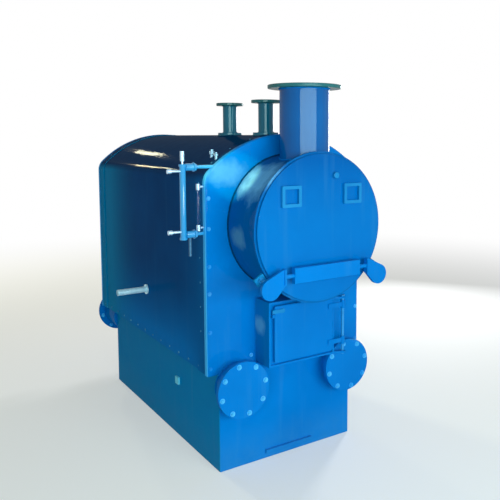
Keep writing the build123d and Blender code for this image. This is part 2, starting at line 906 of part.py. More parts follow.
# Fittings above and below the glass, a cock at each end of the column and a vent on its top
with BuildPart() as gauge_cocks:
    for low in (gauge_high, gauge_low - fitting_length):
        with BuildSketch(Plane.XY.offset(low)):
            with Locations((-gauge_x, front + column_y)):
                Circle(fitting_radius)
        extrude(amount=fitting_length)
        with BuildSketch(Plane.YZ.offset(-gauge_x)):
            with Locations((front + column_y, low + fitting_length / 2)):
                Circle(arm_radius)
        extrude(amount=gauge_stand_off)
    for height in (cock_high, cock_low):
        with BuildSketch(Plane.YZ.offset(-column_x)):
            with Locations((front + column_y, height)):
                Circle(cock_radius)
        extrude(amount=-cock_length)
        with BuildSketch(Plane.YZ.offset(-column_x - cock_length)):
            with Locations((front + column_y, height)):
                Circle(cock_knob_radius)
        extrude(amount=cock_knob_length)
    for radius, length in ((vent_radius, vent_height), (cock_knob_radius, vent_knob_height)):
        with BuildSketch(Plane.XY.offset(column_high + vent_height)):
            with Locations((-column_x, front + column_y)):
                Circle(radius)
        extrude(amount=-length)
    add(level_column.part, mode=Mode.SUBTRACT)
gauge_cocks.part.label = "gauge_cocks"
export_step(gauge_cocks.part, "parts/gauge_cocks.step")


with BuildPart() as feed_stub:
    for radius, reach, mode in (
        (feed_radius, feed_reach, Mode.ADD),
        (feed_pad_radius, feed_pad, Mode.ADD),
        (feed_radius - feed_wall, feed_reach, Mode.SUBTRACT),
    ):
        with BuildSketch(Plane.YZ.offset(jacket_inset - casing_width / 2)):
            with Locations((front + feed_y, feed_z)):
                Circle(radius)
        extrude(amount=-reach, mode=mode)
feed_stub.part.label = "feed_stub"
export_step(feed_stub.part, "parts/feed_stub.step")
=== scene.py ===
"""Looks of a solid-fuel packaged steam boiler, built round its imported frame.

Lengths are in metres. The boiler's front faces -Y, and the floor is at the height of its feet.
"""

from math import asin, cos, pi, radians, sin, sqrt

import bmesh
import bpy
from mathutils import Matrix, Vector


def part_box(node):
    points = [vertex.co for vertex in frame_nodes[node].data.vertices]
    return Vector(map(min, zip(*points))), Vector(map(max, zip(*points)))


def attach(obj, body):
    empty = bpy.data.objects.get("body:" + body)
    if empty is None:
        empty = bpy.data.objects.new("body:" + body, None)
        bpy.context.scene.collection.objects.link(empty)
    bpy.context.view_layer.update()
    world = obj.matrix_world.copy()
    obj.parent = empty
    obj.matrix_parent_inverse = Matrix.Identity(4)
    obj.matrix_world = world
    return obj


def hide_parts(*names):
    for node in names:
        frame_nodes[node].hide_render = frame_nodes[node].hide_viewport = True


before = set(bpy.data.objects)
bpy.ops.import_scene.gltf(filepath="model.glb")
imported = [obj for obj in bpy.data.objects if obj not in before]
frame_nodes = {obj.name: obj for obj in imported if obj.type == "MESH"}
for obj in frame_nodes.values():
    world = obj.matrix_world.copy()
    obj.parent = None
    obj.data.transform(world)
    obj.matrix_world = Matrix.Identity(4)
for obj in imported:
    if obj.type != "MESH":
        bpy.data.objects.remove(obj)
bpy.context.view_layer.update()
scene = bpy.context.scene

# The camera stands to the boiler's front left, a little above the smoke box, and looks slightly down.
camera_turn = radians(35.105)
camera_dip = radians(5.392)
camera_roll = radians(-0.13)

camera_data = bpy.data.cameras.new("camera")
camera = bpy.data.objects.new("camera", camera_data)
scene.collection.objects.link(camera)
scene.camera = camera
camera.location = (-2.538, -5.043, 2.349)
camera.rotation_euler = (radians(90) - camera_dip, camera_roll, -camera_turn)
camera_data.sensor_width = 36
camera_data.lens = 46.78
camera_data.shift_x = -0.1309
camera_data.shift_y = -0.1025
camera_data.clip_start = 0.05
camera_data.clip_end = 200

# The stage is a plain pale floor that runs out into an even pale backdrop, under a dim sky. A wide low
# lamp, a high one and a small low one stand in front, one to the right and two behind. A narrow spot
# lights the front plate's left shoulder.
floor_radius = 60
floor_drop = 0.0015
floor_near = 3.5
floor_far = 11
floor_lift = 0.32
sky_strength = 0.2
white = (1, 1, 1, 1)

scene.view_settings.view_transform = "Standard"


def add_node(tree, kind, inputs=None, **settings):
    """Adds a node, sets its options, and fills or links its inputs by name or number."""
    made = tree.nodes.new(kind)
    for setting, value in settings.items():
        setattr(made, setting, value)
    for key, value in (inputs or {}).items():
        socket = made.inputs[key]
        if isinstance(value, bpy.types.NodeSocket):
            tree.links.new(value, socket)
        else:
            socket.default_value = value
    return made


def math_node(tree, operation, *values, clamp=False):
    """Adds a maths node on numbers or sockets and returns its result."""
    inputs = dict(enumerate(values))
    return add_node(tree, "ShaderNodeMath", inputs, operation=operation, use_clamp=clamp).outputs[0]


def vector_node(tree, operation, *values):
    """Adds a vector maths node and returns its vector, or its number where it measures a length."""
    made = add_node(tree, "ShaderNodeVectorMath", dict(enumerate(values)), operation=operation)
    return made.outputs["Value" if operation == "LENGTH" else "Vector"]


def seen_directly(tree):
    """Gives 1 to rays from the camera and to those that a gloss or a glass sends on."""
    paths = add_node(tree, "ShaderNodeLightPath").outputs
    sharp = math_node(tree, "MAXIMUM", paths["Is Camera Ray"], paths["Is Transmission Ray"])
    return math_node(tree, "MAXIMUM", sharp, paths["Is Glossy Ray"])


world = bpy.data.worlds.new("pale_sky")
scene.world = world
world.use_nodes = True
sky = world.node_tree
sky.nodes.clear()
dim_sky = add_node(sky, "ShaderNodeBackground", {"Color": (0.93, 0.96, 1, 1), "Strength": sky_strength})
pale_sky = add_node(sky, "ShaderNodeBackground", {"Color": white, "Strength": 1})
sky_mix = add_node(sky, "ShaderNodeMixShader",
                   {0: seen_directly(sky), 1: dim_sky.outputs[0], 2: pale_sky.outputs[0]})
add_node(sky, "ShaderNodeOutputWorld", {"Surface": sky_mix.outputs[0]})

floor_mesh = bpy.data.meshes.new("floor")
floor_form = bmesh.new()
bmesh.ops.create_circle(floor_form, cap_ends=True, segments=96, radius=floor_radius)
bmesh.ops.translate(floor_form, verts=floor_form.verts, vec=(0, 0, -floor_drop))
floor_form.to_mesh(floor_mesh)
floor_form.free()
floor = bpy.data.objects.new("floor", floor_mesh)
scene.collection.objects.link(floor)

floor_material = bpy.data.materials.new("pale_floor")
floor_material.use_nodes = True
ground = floor_material.node_tree
floor_shader = ground.nodes["Principled BSDF"]
floor_shader.inputs["Base Color"].default_value = (0.62, 0.63, 0.64, 1)
floor_shader.inputs["Roughness"].default_value = 0.9
floor_shader.inputs["Specular IOR Level"].default_value = 0.1
floor_shader.inputs["Emission Color"].default_value = white
floor_seen = seen_directly(ground)
floor_light = math_node(ground, "MULTIPLY", floor_seen, floor_lift)
ground.links.new(floor_light, floor_shader.inputs["Emission Strength"])
floor_place = add_node(ground, "ShaderNodeTexCoord").outputs["Object"]
floor_reach = vector_node(ground, "LENGTH", floor_place)
floor_fade = add_node(ground, "ShaderNodeMapRange",
                      {"Value": floor_reach, "From Min": floor_near, "From Max": floor_far},
                      interpolation_type="SMOOTHSTEP").outputs["Result"]
floor_glow = add_node(ground, "ShaderNodeEmission", {"Color": white, "Strength": 1})
floor_share = math_node(ground, "MULTIPLY", floor_fade, floor_seen)
floor_mix = add_node(ground, "ShaderNodeMixShader",
                     {0: floor_share, 1: floor_shader.outputs[0], 2: floor_glow.outputs[0]})
ground.links.new(floor_mix.outputs[0], ground.nodes["Material Output"].inputs["Surface"])
floor_mesh.materials.append(floor_material)


def set_lamp(name, lamp_data, place, aim):
    """Puts a lamp at a place, turned to its aim and hidden from the camera."""
    lamp = bpy.data.objects.new(name, lamp_data)
    scene.collection.objects.link(lamp)
    lamp.visible_camera = False
    lamp.location = place
    lamp.rotation_euler = (Vector(aim) - place).to_track_quat("-Z", "Y").to_euler()


def soft_lamp(name, azimuth, height, distance, size, watts, aim=(0, 0, 1.3), colour=(1, 1, 1)):
    """Adds a soft lamp that stands round the boiler, at an azimuth from the front."""
    lamp_data = bpy.data.lights.new(name, "AREA")
    lamp_data.shape = "RECTANGLE"
    lamp_data.size, lamp_data.size_y = size
    lamp_data.energy = watts
    lamp_data.color = colour
    turn = radians(azimuth)
    set_lamp(name, lamp_data, Vector((sin(turn) * distance, -cos(turn) * distance, height)), aim)


crown_aim = (-0.6, -0.5, 2.1)
soft_lamp("window_lamp", azimuth=-14, height=2.62, distance=7, size=(8.8, 1.1), watts=360,
          aim=(0, 0, 2.6), colour=(0.66, 1, 0.97))
soft_lamp("front_lamp", azimuth=16, height=6, distance=7.5, size=(3.5, 3), watts=40)
soft_lamp("column_lamp", azimuth=-2, height=1.36, distance=7, size=(2.6, 0.42), watts=60,
          aim=(-0.8, -1, 1.36))
soft_lamp("right_lamp", azimuth=115, height=2.6, distance=5.5, size=(0.8, 1.8), watts=190,
          aim=(0, -1.3, 2.3))
soft_lamp("rear_lamp", azimuth=-171.4, height=6.2, distance=11, size=(0.75, 0.9), watts=330,
          aim=crown_aim, colour=(1, 0.95, 0.6))
soft_lamp("glint_lamp", azimuth=-183.5, height=6.1, distance=11, size=(0.45, 0.6), watts=110,
          aim=crown_aim, colour=(1, 0.97, 0.66))

pool_light = bpy.data.lights.new("pool_lamp", "SPOT")
pool_light.energy = 620
pool_light.color = (1, 1, 0.5)
pool_light.spot_size = radians(6)
pool_light.spot_blend = 0.45
pool_light.shadow_soft_size = 0.03
set_lamp("pool_lamp", pool_light, Vector((-3.3, -2.7, 3.35)), aim=(-0.46, -1.11, 2.1))

# The base is a box of plate, welded along its corners, that carries the boiler and catches the ash.
# Like most of the boiler it is sprayed azure, in a glossy enamel that dust has settled on.
azure = (0.0, 0.2, 0.64, 1)
azure_shade = (0.0, 0.165, 0.55, 1)
azure_side_light = (0.0, 0.25, 0.56, 1)
dust_colour = (0.09, 0.32, 0.52, 1)
cloud_scale = 1.5
mottle_scale = 11
run_stretch = (13, 13, 0.9)
handling_scale = 4.5
sheet_scale = 3.2
sheet_wave = 0.0005
peel_scale = 210
peel_depth = 0.00003
foot_low = 0.02
foot_high = 0.3


def pattern(tree, place, scale, detail=3.0):
    """A cloudy pattern from 0 to 1 on the given coordinates."""
    made = add_node(tree, "ShaderNodeTexNoise",
                    {"Vector": place, "Scale": scale, "Detail": detail, "Roughness": 0.55})
    return made.outputs["Fac"]


def spread(tree, value, low, high, start=0.0, end=1.0):
    """Maps low to start and high to end, held at both ends."""
    made = add_node(tree, "ShaderNodeMapRange",
                    {"Value": value, "From Min": low, "From Max": high, "To Min": start, "To Max": end})
    return made.outputs["Result"]


def blend_colours(tree, share, first, second):
    """Mixes two colours by a share."""
    made = add_node(tree, "ShaderNodeMix", {"Factor": share}, data_type="RGBA", blend_type="MIX")
    for socket, colour in zip([s for s in made.inputs if s.type == "RGBA"], (first, second)):
        if isinstance(colour, bpy.types.NodeSocket):
            tree.links.new(colour, socket)
        else:
            socket.default_value = colour
    return next(s for s in made.outputs if s.type == "RGBA")


def object_place(tree):
    """The piece's own coordinates."""
    return add_node(tree, "ShaderNodeTexCoord").outputs["Object"]


def split_vector(tree, vector):
    """The X, Y and Z of a vector, by name."""
    return add_node(tree, "ShaderNodeSeparateXYZ", {0: vector}).outputs


def new_material(name, **constants):
    """Adds a material, with numbers set on its surface shader, and returns it with its tree and shader."""
    material = bpy.data.materials.new(name)
    material.use_nodes = True
    shader = material.node_tree.nodes["Principled BSDF"]
    for key, value in constants.items():
        shader.inputs[key.replace("_", " ")].default_value = value
    return material, material.node_tree, shader


def raise_surface(tree, shader, *layers):
    """Puts bump layers, each a pattern and its depth in metres, on a shader."""
    normal = None
    for height, depth in layers:
        values = {"Height": height, "Distance": depth, "Strength": 1}
        if normal:
            values["Normal"] = normal
        normal = add_node(tree, "ShaderNodeBump", values).outputs["Normal"]
    tree.links.new(normal, shader.inputs["Normal"])
    tree.links.new(normal, shader.inputs["Coat Normal"])


def paint_light_patch(tree, coordinates, mottle, tone, light_patch):
    """Blends a pale painted patch of light with a ragged edge into a tone."""
    middle, reach, patch_tone = light_patch
    offset = vector_node(tree, "SUBTRACT", coordinates, middle)
    away = vector_node(tree, "LENGTH", vector_node(tree, "DIVIDE", offset, reach))
    ragged = math_node(tree, "ADD", away, spread(tree, mottle, 0.2, 0.8, -0.3, 0.3))
    return blend_colours(tree, spread(tree, ragged, 1.15, 0.45), tone, patch_tone)


def enamel(name, colour, shade, side=None, top=None, painted_fades=(), light_patches=(), gloss=0.1, sheen=0.05,
           wave=sheet_wave, dust=1.0):
    """Sprayed enamel: a cloudy tone, faint runs, settled dust, fine orange peel and the plate's own waves.

    Plates that face sideways or upwards take their own tone where one is given, as painted light or shade
    for how the light falls on them. A fade turns the tone into another between two places on an axis, as
    painted light or shade. A light patch is a pale painted patch of light, given by its middle, its reach
    on each axis and its tone. The gloss is the share of a clear top coat that mirrors, and the sheen is its
    roughness.
    """
    material, tree, shader = new_material(name, Specular_IOR_Level=0.0, Coat_Weight=gloss,
                                          Coat_Roughness=sheen)
    coordinates = object_place(tree)
    place = split_vector(tree, coordinates)
    facing = split_vector(tree, add_node(tree, "ShaderNodeNewGeometry").outputs["Normal"])
    clouds = pattern(tree, coordinates, cloud_scale)
    mottle = pattern(tree, coordinates, mottle_scale, 5)
    tone = blend_colours(tree, spread(tree, clouds, 0.35, 0.65), colour, shade)
    if side:
        side_light_share = spread(tree, math_node(tree, "ABSOLUTE", facing["X"]), 0.6, 0.85)
        tone = blend_colours(tree, side_light_share, tone, side)
    for axis, start, end, reached in painted_fades:
        along = spread(tree, place[axis], start, end)
        uneven = math_node(tree, "MULTIPLY_ADD", mottle, 0.5, -0.25)
        share = math_node(tree, "ADD", along, uneven, clamp=True)
        tone = blend_colours(tree, math_node(tree, "MULTIPLY", share, along), tone, reached)
    if top:
        tone = blend_colours(tree, spread(tree, facing["Z"], 0.15, 0.6), tone, top)
    for light_patch in light_patches:
        tone = paint_light_patch(tree, coordinates, mottle, tone, light_patch)
    tone = blend_colours(tree, spread(tree, mottle, 0.3, 0.7, 0.0, 0.18), tone, shade)
    upright = add_node(tree, "ShaderNodeMapping", {"Vector": coordinates, "Scale": run_stretch}).outputs[0]
    runs = spread(tree, pattern(tree, upright, 1.0, 4), 0.56, 0.78, 0.0, 0.12 * dust)
    foot_share = spread(tree, place["Z"], foot_low, foot_high, 0.3 * dust, 0.0)
    foot = math_node(tree, "MULTIPLY", foot_share, mottle)
    ledge_share = spread(tree, facing["Z"], 0.7, 1.0, 0.0, 0.25 * dust)
    settled = math_node(tree, "MULTIPLY", ledge_share, mottle)
    dusty = math_node(tree, "ADD", math_node(tree, "ADD", runs, foot), settled, clamp=True)
    tree.links.new(blend_colours(tree, dusty, tone, dust_colour), shader.inputs["Base Color"])
    handled = spread(tree, pattern(tree, coordinates, handling_scale, 6), 0.35, 0.7, 0.4, 0.55)
    tree.links.new(handled, shader.inputs["Roughness"])
    raise_surface(tree, shader, (pattern(tree, coordinates, sheet_scale, 2), wave),
                  (pattern(tree, coordinates, peel_scale, 2), peel_depth))
    return material


def finish_nodes(material, *names):
    """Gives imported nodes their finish."""
    for name in names:
        mesh = frame_nodes[name].data
        mesh.materials.clear()
        mesh.materials.append(material)


# The base's sideways faces take a greener tone that is painted side light.
base_enamel = enamel("base_enamel", azure, azure_shade, side=azure_side_light, gloss=0.05)
# The plug's pale cyan is a painted highlight.
plug_highlight_enamel = enamel("plug_highlight_enamel", (0.2, 0.8, 1, 1), (0.12, 0.6, 0.85, 1), gloss=0.3, dust=0.0)
finish_nodes(base_enamel, "base_box", "base_sill")
finish_nodes(plug_highlight_enamel, "base_plug")

# The ash pit's floor and the casing's floor are plain sheet, dull with soot and ash.
soot, soot_tree, soot_shader = new_material("sooty_sheet", Metallic=0.4)
soot_place = object_place(soot_tree)
soot_fall = spread(soot_tree, pattern(soot_tree, soot_place, 6, 6), 0.35, 0.65)
soot_tone = blend_colours(soot_tree, soot_fall, (0.02, 0.019, 0.018, 1), (0.16, 0.15, 0.14, 1))
soot_tree.links.new(soot_tone, soot_shader.inputs["Base Color"])
soot_tree.links.new(spread(soot_tree, soot_fall, 0, 1, 0.6, 0.95), soot_shader.inputs["Roughness"])
raise_surface(soot_tree, soot_shader, (pattern(soot_tree, soot_place, 60, 4), 0.001))
finish_nodes(soot, "ash_floor", "casing_floor")

# The casing is thin sheet over insulation: a jacket in a deeper blue, held by a band at each end, between
# two azure end plates. The sheet is wavy, so its reflections wander. The jacket's blue is darker on its
# upward faces as painted shade, paler at the foot as a painted reflection of the floor, and paler towards
# the rear and the front as painted light. The front plate has a painted pool of light on its left shoulder
# and a painted highlight along its sideways rim.
deep_blue = (0.0, 0.072, 0.25, 1)
deep_shade = (0.0, 0.056, 0.2, 1)
top_shade_blue = (0.0, 0.038, 0.135, 1)
rear_light_blue = (0.0, 0.25, 0.52, 1)
foot_reflection_blue = (0.0, 0.2, 0.6, 1)
front_light_blue = (0.0, 0.12, 0.36, 1)
foot_reflection_fade = ("Z", 1.45, 0.8, foot_reflection_blue)
rear_light_fade = ("Y", 0.15, 0.95, rear_light_blue)
front_light_fade = ("Y", -0.55, -1.05, front_light_blue)
rim_highlight_azure = (0.06, 0.48, 0.95, 1)
plate_light_patch = ((-0.5, -1.085, 2.11), (0.16, 0.1, 0.1), (0.07, 0.33, 0.72, 1))

jacket_enamel = enamel("jacket_enamel", deep_blue, deep_shade, top=top_shade_blue,
                       painted_fades=(foot_reflection_fade, rear_light_fade, front_light_fade), gloss=0.035, sheen=0.07, wave=0.0016,
                       dust=0.3)
# The plate's sideways rim takes a painted highlight, and its left shoulder a painted pool of light.
plate_enamel = enamel("plate_enamel", azure, azure_shade, side=rim_highlight_azure, light_patches=(plate_light_patch,))
azure_enamel = enamel("azure_enamel", azure, azure_shade)
finish_nodes(jacket_enamel, "jacket", "jacket_bands")
finish_nodes(plate_enamel, "front_plate", "rear_plate")

# Bolts hold the end plates' edges to the frame inside. Each is a plated hexagon head on a washer, painted a
# paler blue than the plate as a painted highlight on its edges.
front_low, front_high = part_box("front_plate")
front = front_low.y
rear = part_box("rear_plate")[1].y
casing_half = front_high.x
casing_low = front_low.z
plate_bolt_head = 0.0115
plate_bolt_inset = 0.024
plate_bolt_heights = (0.76, 1.017, 1.287, 1.474, 1.733, 1.94)
inner_bolt_x = 0.313
inner_bolt_z = 0.802
bolt_shares = {"Head radius": 1.0, "Head height": 0.62, "Washer radius": 1.3, "Washer height": 0.18,
               "Shank radius": 0.52}
least_shank_share = 0.12
bolt_highlight_enamel = enamel("bolt_highlight_enamel", (0.1, 0.52, 0.95, 1), azure, gloss=0.4, wave=0.0001, dust=0.3)


def new_group(name, numbers):
    """Starts a geometry tree with a geometry input, named number inputs and a material input."""
    tree = bpy.data.node_groups.new(name, "GeometryNodeTree")
    tree.interface.new_socket("Geometry", in_out="INPUT", socket_type="NodeSocketGeometry")
    for number in numbers:
        tree.interface.new_socket(number, in_out="INPUT", socket_type="NodeSocketFloat")
    tree.interface.new_socket("Material", in_out="INPUT", socket_type="NodeSocketMaterial")
    tree.interface.new_socket("Geometry", in_out="OUTPUT", socket_type="NodeSocketGeometry")
    return tree, tree.nodes.new("NodeGroupInput").outputs


def end_group(tree, geometry, material):
    """Realizes the instances, sets the material and closes the tree."""
    whole = add_node(tree, "GeometryNodeRealizeInstances", {"Geometry": geometry}).outputs[0]
    painted = add_node(tree, "GeometryNodeSetMaterial", {"Geometry": whole, "Material": material})
    add_node(tree, "NodeGroupOutput", {"Geometry": painted.outputs[0]})


def disc(tree, sides, radius, low, high):
    """An upright disc or prism between two heights, inside a geometry tree."""
    depth = math_node(tree, "SUBTRACT", high, low)
    middle = math_node(tree, "MULTIPLY", math_node(tree, "ADD", high, low), 0.5)
    solid = add_node(tree, "GeometryNodeMeshCylinder",
                     {"Vertices": sides, "Radius": radius, "Depth": depth}).outputs["Mesh"]
    shift = add_node(tree, "ShaderNodeCombineXYZ", {"Z": middle}).outputs[0]
    return add_node(tree, "GeometryNodeTransform", {"Geometry": solid, "Translation": shift}).outputs[0]


def bolt_group():
    """A washer, a chamfered hexagon head and a shank's end on every point, along the point's facing."""
    tree, given = new_group("hexagon_bolts", ("Head radius", "Head height", "Washer radius",
                                              "Washer height", "Shank radius", "Shank height"))
    washer_top = given["Washer height"]
    head_top = math_node(tree, "ADD", washer_top, given["Head height"])
    chamfer_top = math_node(tree, "ADD", head_top, math_node(tree, "MULTIPLY", given["Head height"], 0.1))
    chamfer_radius = math_node(tree, "MULTIPLY", given["Head radius"], 0.84)
    shank_top = math_node(tree, "ADD", head_top, given["Shank height"])
    join = add_node(tree, "GeometryNodeJoinGeometry")
    for form in (disc(tree, 20, given["Washer radius"], 0.0, washer_top),
                 disc(tree, 6, given["Head radius"], washer_top, head_top),
                 disc(tree, 18, chamfer_radius, head_top, chamfer_top),
                 disc(tree, 12, given["Shank radius"], head_top, shank_top)):
        tree.links.new(form, join.inputs[0])
    facing = add_node(tree, "GeometryNodeInputNamedAttribute", {"Name": "facing"}, data_type="FLOAT_VECTOR")
    aim = add_node(tree, "FunctionNodeAlignRotationToVector", {"Vector": facing.outputs["Attribute"]},
                   axis="Z").outputs[0]
    chance = add_node(tree, "FunctionNodeRandomValue", {"Seed": 7}, data_type="FLOAT")
    number = next(o for o in chance.outputs if o.type == "VALUE" and o.enabled)
    turn = math_node(tree, "MULTIPLY", number, pi / 3)
    twist = add_node(tree, "FunctionNodeAxisAngleToRotation", {"Angle": turn}).outputs[0]
    posed = add_node(tree, "FunctionNodeRotateRotation", {"Rotation": aim, "Rotate By": twist},
                     rotation_space="LOCAL").outputs[0]
    placed = add_node(tree, "GeometryNodeInstanceOnPoints",
                      {"Points": given["Geometry"], "Instance": join.outputs[0], "Rotation": posed})
    end_group(tree, placed.outputs[0], given["Material"])
    return tree


def grow(name, seed_mesh, tree, values, material, body="boiler"):
    """Runs a geometry tree on a seed mesh, keeps the result as a plain mesh and lets it ride on a body."""
    piece = bpy.data.objects.new(name, seed_mesh)
    scene.collection.objects.link(piece)
    modifier = piece.modifiers.new("grow", "NODES")
    modifier.node_group = tree
    sockets = {s.name: s.identifier for s in tree.interface.items_tree if s.in_out == "INPUT"}
    for key, value in values.items():
        modifier[sockets[key]] = value
    modifier[sockets["Material"]] = material
    bpy.context.view_layer.update()
    grown = bpy.data.meshes.new_from_object(piece.evaluated_get(bpy.context.evaluated_depsgraph_get()))
    piece.modifiers.clear()
    piece.data = grown
    grown.name = name
    bpy.data.meshes.remove(seed_mesh)
    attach(piece, body)


hexagon_bolts = bolt_group()


def set_bolts(name, seats, head, material=bolt_highlight_enamel, shank=0.0):
    """Puts bolts of one head radius on seats, each a place and the way that the bolt faces."""
    mesh = bpy.data.meshes.new(name + "_seats")
    mesh.from_pydata([place for place, facing in seats], [], [])
    facing_of = mesh.attributes.new("facing", "FLOAT_VECTOR", "POINT")
    for number, (place, facing) in enumerate(seats):
        facing_of.data[number].vector = facing
    sizes = {part: share * head for part, share in bolt_shares.items()}
    sizes["Shank height"] = max(shank, least_shank_share * head)
    grow(name, mesh, hexagon_bolts, sizes, material)


def plate_seats(y, facing):
    """The seats along both edges of an end plate."""
    return [((side * (casing_half - plate_bolt_inset), y, height), (0, facing, 0))
            for side in (-1, 1) for height in plate_bolt_heights]


inner_seats = [((side * inner_bolt_x, front, inner_bolt_z), (0, -1, 0)) for side in (-1, 1)]
set_bolts("front_plate_bolts", plate_seats(front, -1) + inner_seats, plate_bolt_head)
set_bolts("rear_plate_bolts", plate_seats(rear, 1), plate_bolt_head)

# Screws hold the jacket's lower edge and its bands. They are small flanged hexagons, painted paler than the
# jacket as painted glints, in a row along each side and round both bands.
jacket_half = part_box("jacket")[1].x
band_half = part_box("jacket_bands")[1].x
jacket_screw = 0.0065
low_row_z = casing_low + 0.038
low_row_start = 0.151
low_row_pitch = 0.1737
low_row_count = 13
band_middle = 0.1
band_screw_pitch = 0.172
band_screw_clearance = 0.1
screw_sink = 0.0032

low_row = [((side * jacket_half, front + low_row_start + low_row_pitch * number, low_row_z), (side, 0, 0))
           for side in (-1, 1) for number in range(low_row_count)]
screw_glint_enamel = enamel("screw_glint_enamel", (0.1, 0.4, 0.62, 1), (0.03, 0.2, 0.42, 1), gloss=0.12, wave=0.0001,
                      dust=0.3)
set_bolts("jacket_screws", low_row, jacket_screw, screw_glint_enamel)

shoulder_z = 2.085
shoulder_radius = 0.12
crown_z = front_high.z
crown_rise = crown_z - shoulder_z
crown_radius = (casing_half ** 2 + crown_rise ** 2) / (2 * crown_rise)
crown_centre = crown_z - crown_radius
band_inset = casing_half - band_half


def section_point(distance, inset):
    """Walks along the casing's outline from the crown's middle: a place, and the way that it faces."""
    radius = crown_radius - inset
    corner = shoulder_radius - inset
    half = casing_half - inset
    corner_x = half - corner
    corner_z = crown_centre + sqrt((radius - corner) ** 2 - corner_x ** 2)
    crown_angle = asin(corner_x / (radius - corner))
    crown_length = radius * crown_angle
    corner_length = corner * (pi / 2 - crown_angle)
    if distance <= crown_length:
        angle = distance / radius
        return (radius * sin(angle), crown_centre + radius * cos(angle)), (sin(angle), cos(angle))
    if distance <= crown_length + corner_length:
        angle = crown_angle + (distance - crown_length) / corner
        return (corner_x + corner * sin(angle), corner_z + corner * cos(angle)), (sin(angle), cos(angle))
    return (half, corner_z - (distance - crown_length - corner_length)), (1, 0)


def band_seats(y):
    """The seats round a band, from the crown's middle down both sides."""
    seats = []
    steps = 0
    while True:
        (across, up), (facing_x, facing_z) = section_point(band_screw_pitch * (steps + 0.5), band_inset)
        if up < low_row_z + band_screw_clearance:
            return seats
        for side in (-1, 1):
            place = (side * (across - screw_sink * facing_x), y, up - screw_sink * facing_z)
            seats.append((place, (side * facing_x, 0, facing_z)))
        steps += 1


set_bolts("band_screws", band_seats(front + band_middle) + band_seats(rear - band_middle), jacket_screw,
          screw_glint_enamel)

# The smoke box is a rolled shell, welded to the front plate, with a flat ring round its mouth. The shell
# takes a darker copy of the azure as painted shade, darker still low down, and its left side carries two
# pale painted patches of light. The dark bead at its seam with the plate is painted shade.
smoke_low, smoke_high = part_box("smoke_box")
smoke_centre = (smoke_low.z + smoke_high.z) / 2
smoke_radius = (smoke_high.x - smoke_low.x) / 2
shaded_shell_azure = (0.0, 0.13, 0.44, 1)
shell_shade = (0.0, 0.11, 0.38, 1)
shell_shade_fade = ("Z", 1.8, 1.4, (0.0, 0.13, 0.4, 1))
upper_light_patch = ((-0.355, -1.29, 2.07), (0.17, 0.24, 0.17), (0.2, 0.56, 0.9, 1))
lower_light_patch = ((-0.48, -1.22, 1.68), (0.07, 0.1, 0.08), (0.08, 0.27, 0.48, 1))
door_shade_fade = ("Z", 1.75, 2.2, (0.0, 0.1, 0.38, 1))

shell_enamel = enamel("shell_enamel", shaded_shell_azure, shell_shade, painted_fades=(shell_shade_fade,),
                      light_patches=(upper_light_patch, lower_light_patch))
# The smoke door takes a slightly darker copy of the azure as painted shade, darker still towards its top.
shaded_door_enamel = enamel("shaded_door_enamel", (0.0, 0.168, 0.54, 1), (0.0, 0.145, 0.48, 1), painted_fades=(door_shade_fade,))
finish_nodes(shell_enamel, "smoke_box", "smoke_box_ring")
finish_nodes(shaded_door_enamel, "smoke_door")


def bead_group():
    """A weld bead along a path: a round section that swells and narrows as it goes."""
    tree, given = new_group("weld_bead", ("Bead radius", "Ripple length", "Ripple share"))
    path = add_node(tree, "GeometryNodeMeshToCurve", {"Mesh": given["Geometry"]}).outputs[0]
    step = math_node(tree, "DIVIDE", given["Ripple length"], 4.0)
    path = add_node(tree, "GeometryNodeResampleCurve", {"Curve": path, "Length": step},
                    mode="LENGTH").outputs[0]
    along = add_node(tree, "GeometryNodeSplineParameter").outputs["Length"]
    phase = math_node(tree, "MULTIPLY", math_node(tree, "DIVIDE", along, given["Ripple length"]), 2 * pi)
    ripple = math_node(tree, "MULTIPLY", math_node(tree, "SINE", phase), given["Ripple share"])
    unsteady = add_node(tree, "ShaderNodeTexNoise", {"Scale": 30.0}).outputs["Fac"]
    uneven = math_node(tree, "MULTIPLY", unsteady, 0.5)
    swell = math_node(tree, "ADD", math_node(tree, "ADD", ripple, 0.75), uneven)
    ring = add_node(tree, "GeometryNodeCurvePrimitiveCircle",
                    {"Resolution": 8, "Radius": given["Bead radius"]}).outputs["Curve"]
    bead = add_node(tree, "GeometryNodeCurveToMesh",
                    {"Curve": path, "Profile Curve": ring, "Scale": swell, "Fill Caps": True}).outputs[0]
    smooth = add_node(tree, "GeometryNodeSetShadeSmooth", {"Geometry": bead}).outputs[0]
    end_group(tree, smooth, given["Material"])
    return tree


weld_bead = bead_group()
bead_radius = 0.005
bead_ripple = 0.009
bead_ripple_share = 0.16
bead_out = 0.002
bead_off = 0.001
weld_enamel = enamel("weld_enamel", azure, azure_shade, gloss=0.05, wave=0.0001, dust=0.8)


def lay_beads(name, paths, radius=bead_radius, material=weld_enamel):
    """Lays weld beads along paths, each a closed list of points."""
    points, edges = [], []
    for path in paths:
        first = len(points)
        points += path
        edges += [(first + n, first + n + 1) for n in range(len(path) - 1)]
        edges.append((first + len(path) - 1, first))
    mesh = bpy.data.meshes.new(name + "_path")
    mesh.from_pydata(points, edges, [])
    sizes = {"Bead radius": radius, "Ripple length": bead_ripple, "Ripple share": bead_ripple_share}
    grow(name, mesh, weld_bead, sizes, material)


def upright_ring(centre_x, y, centre_z, radius, steps=96):
    """A circle in an upright plane that faces the front."""
    turns = [2 * pi * n / steps for n in range(steps)]
    return [(centre_x + radius * sin(turn), y, centre_z + radius * cos(turn)) for turn in turns]


seam_bead = 0.007
seam_out = 0.003
ring_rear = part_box("smoke_box_ring")[1].y
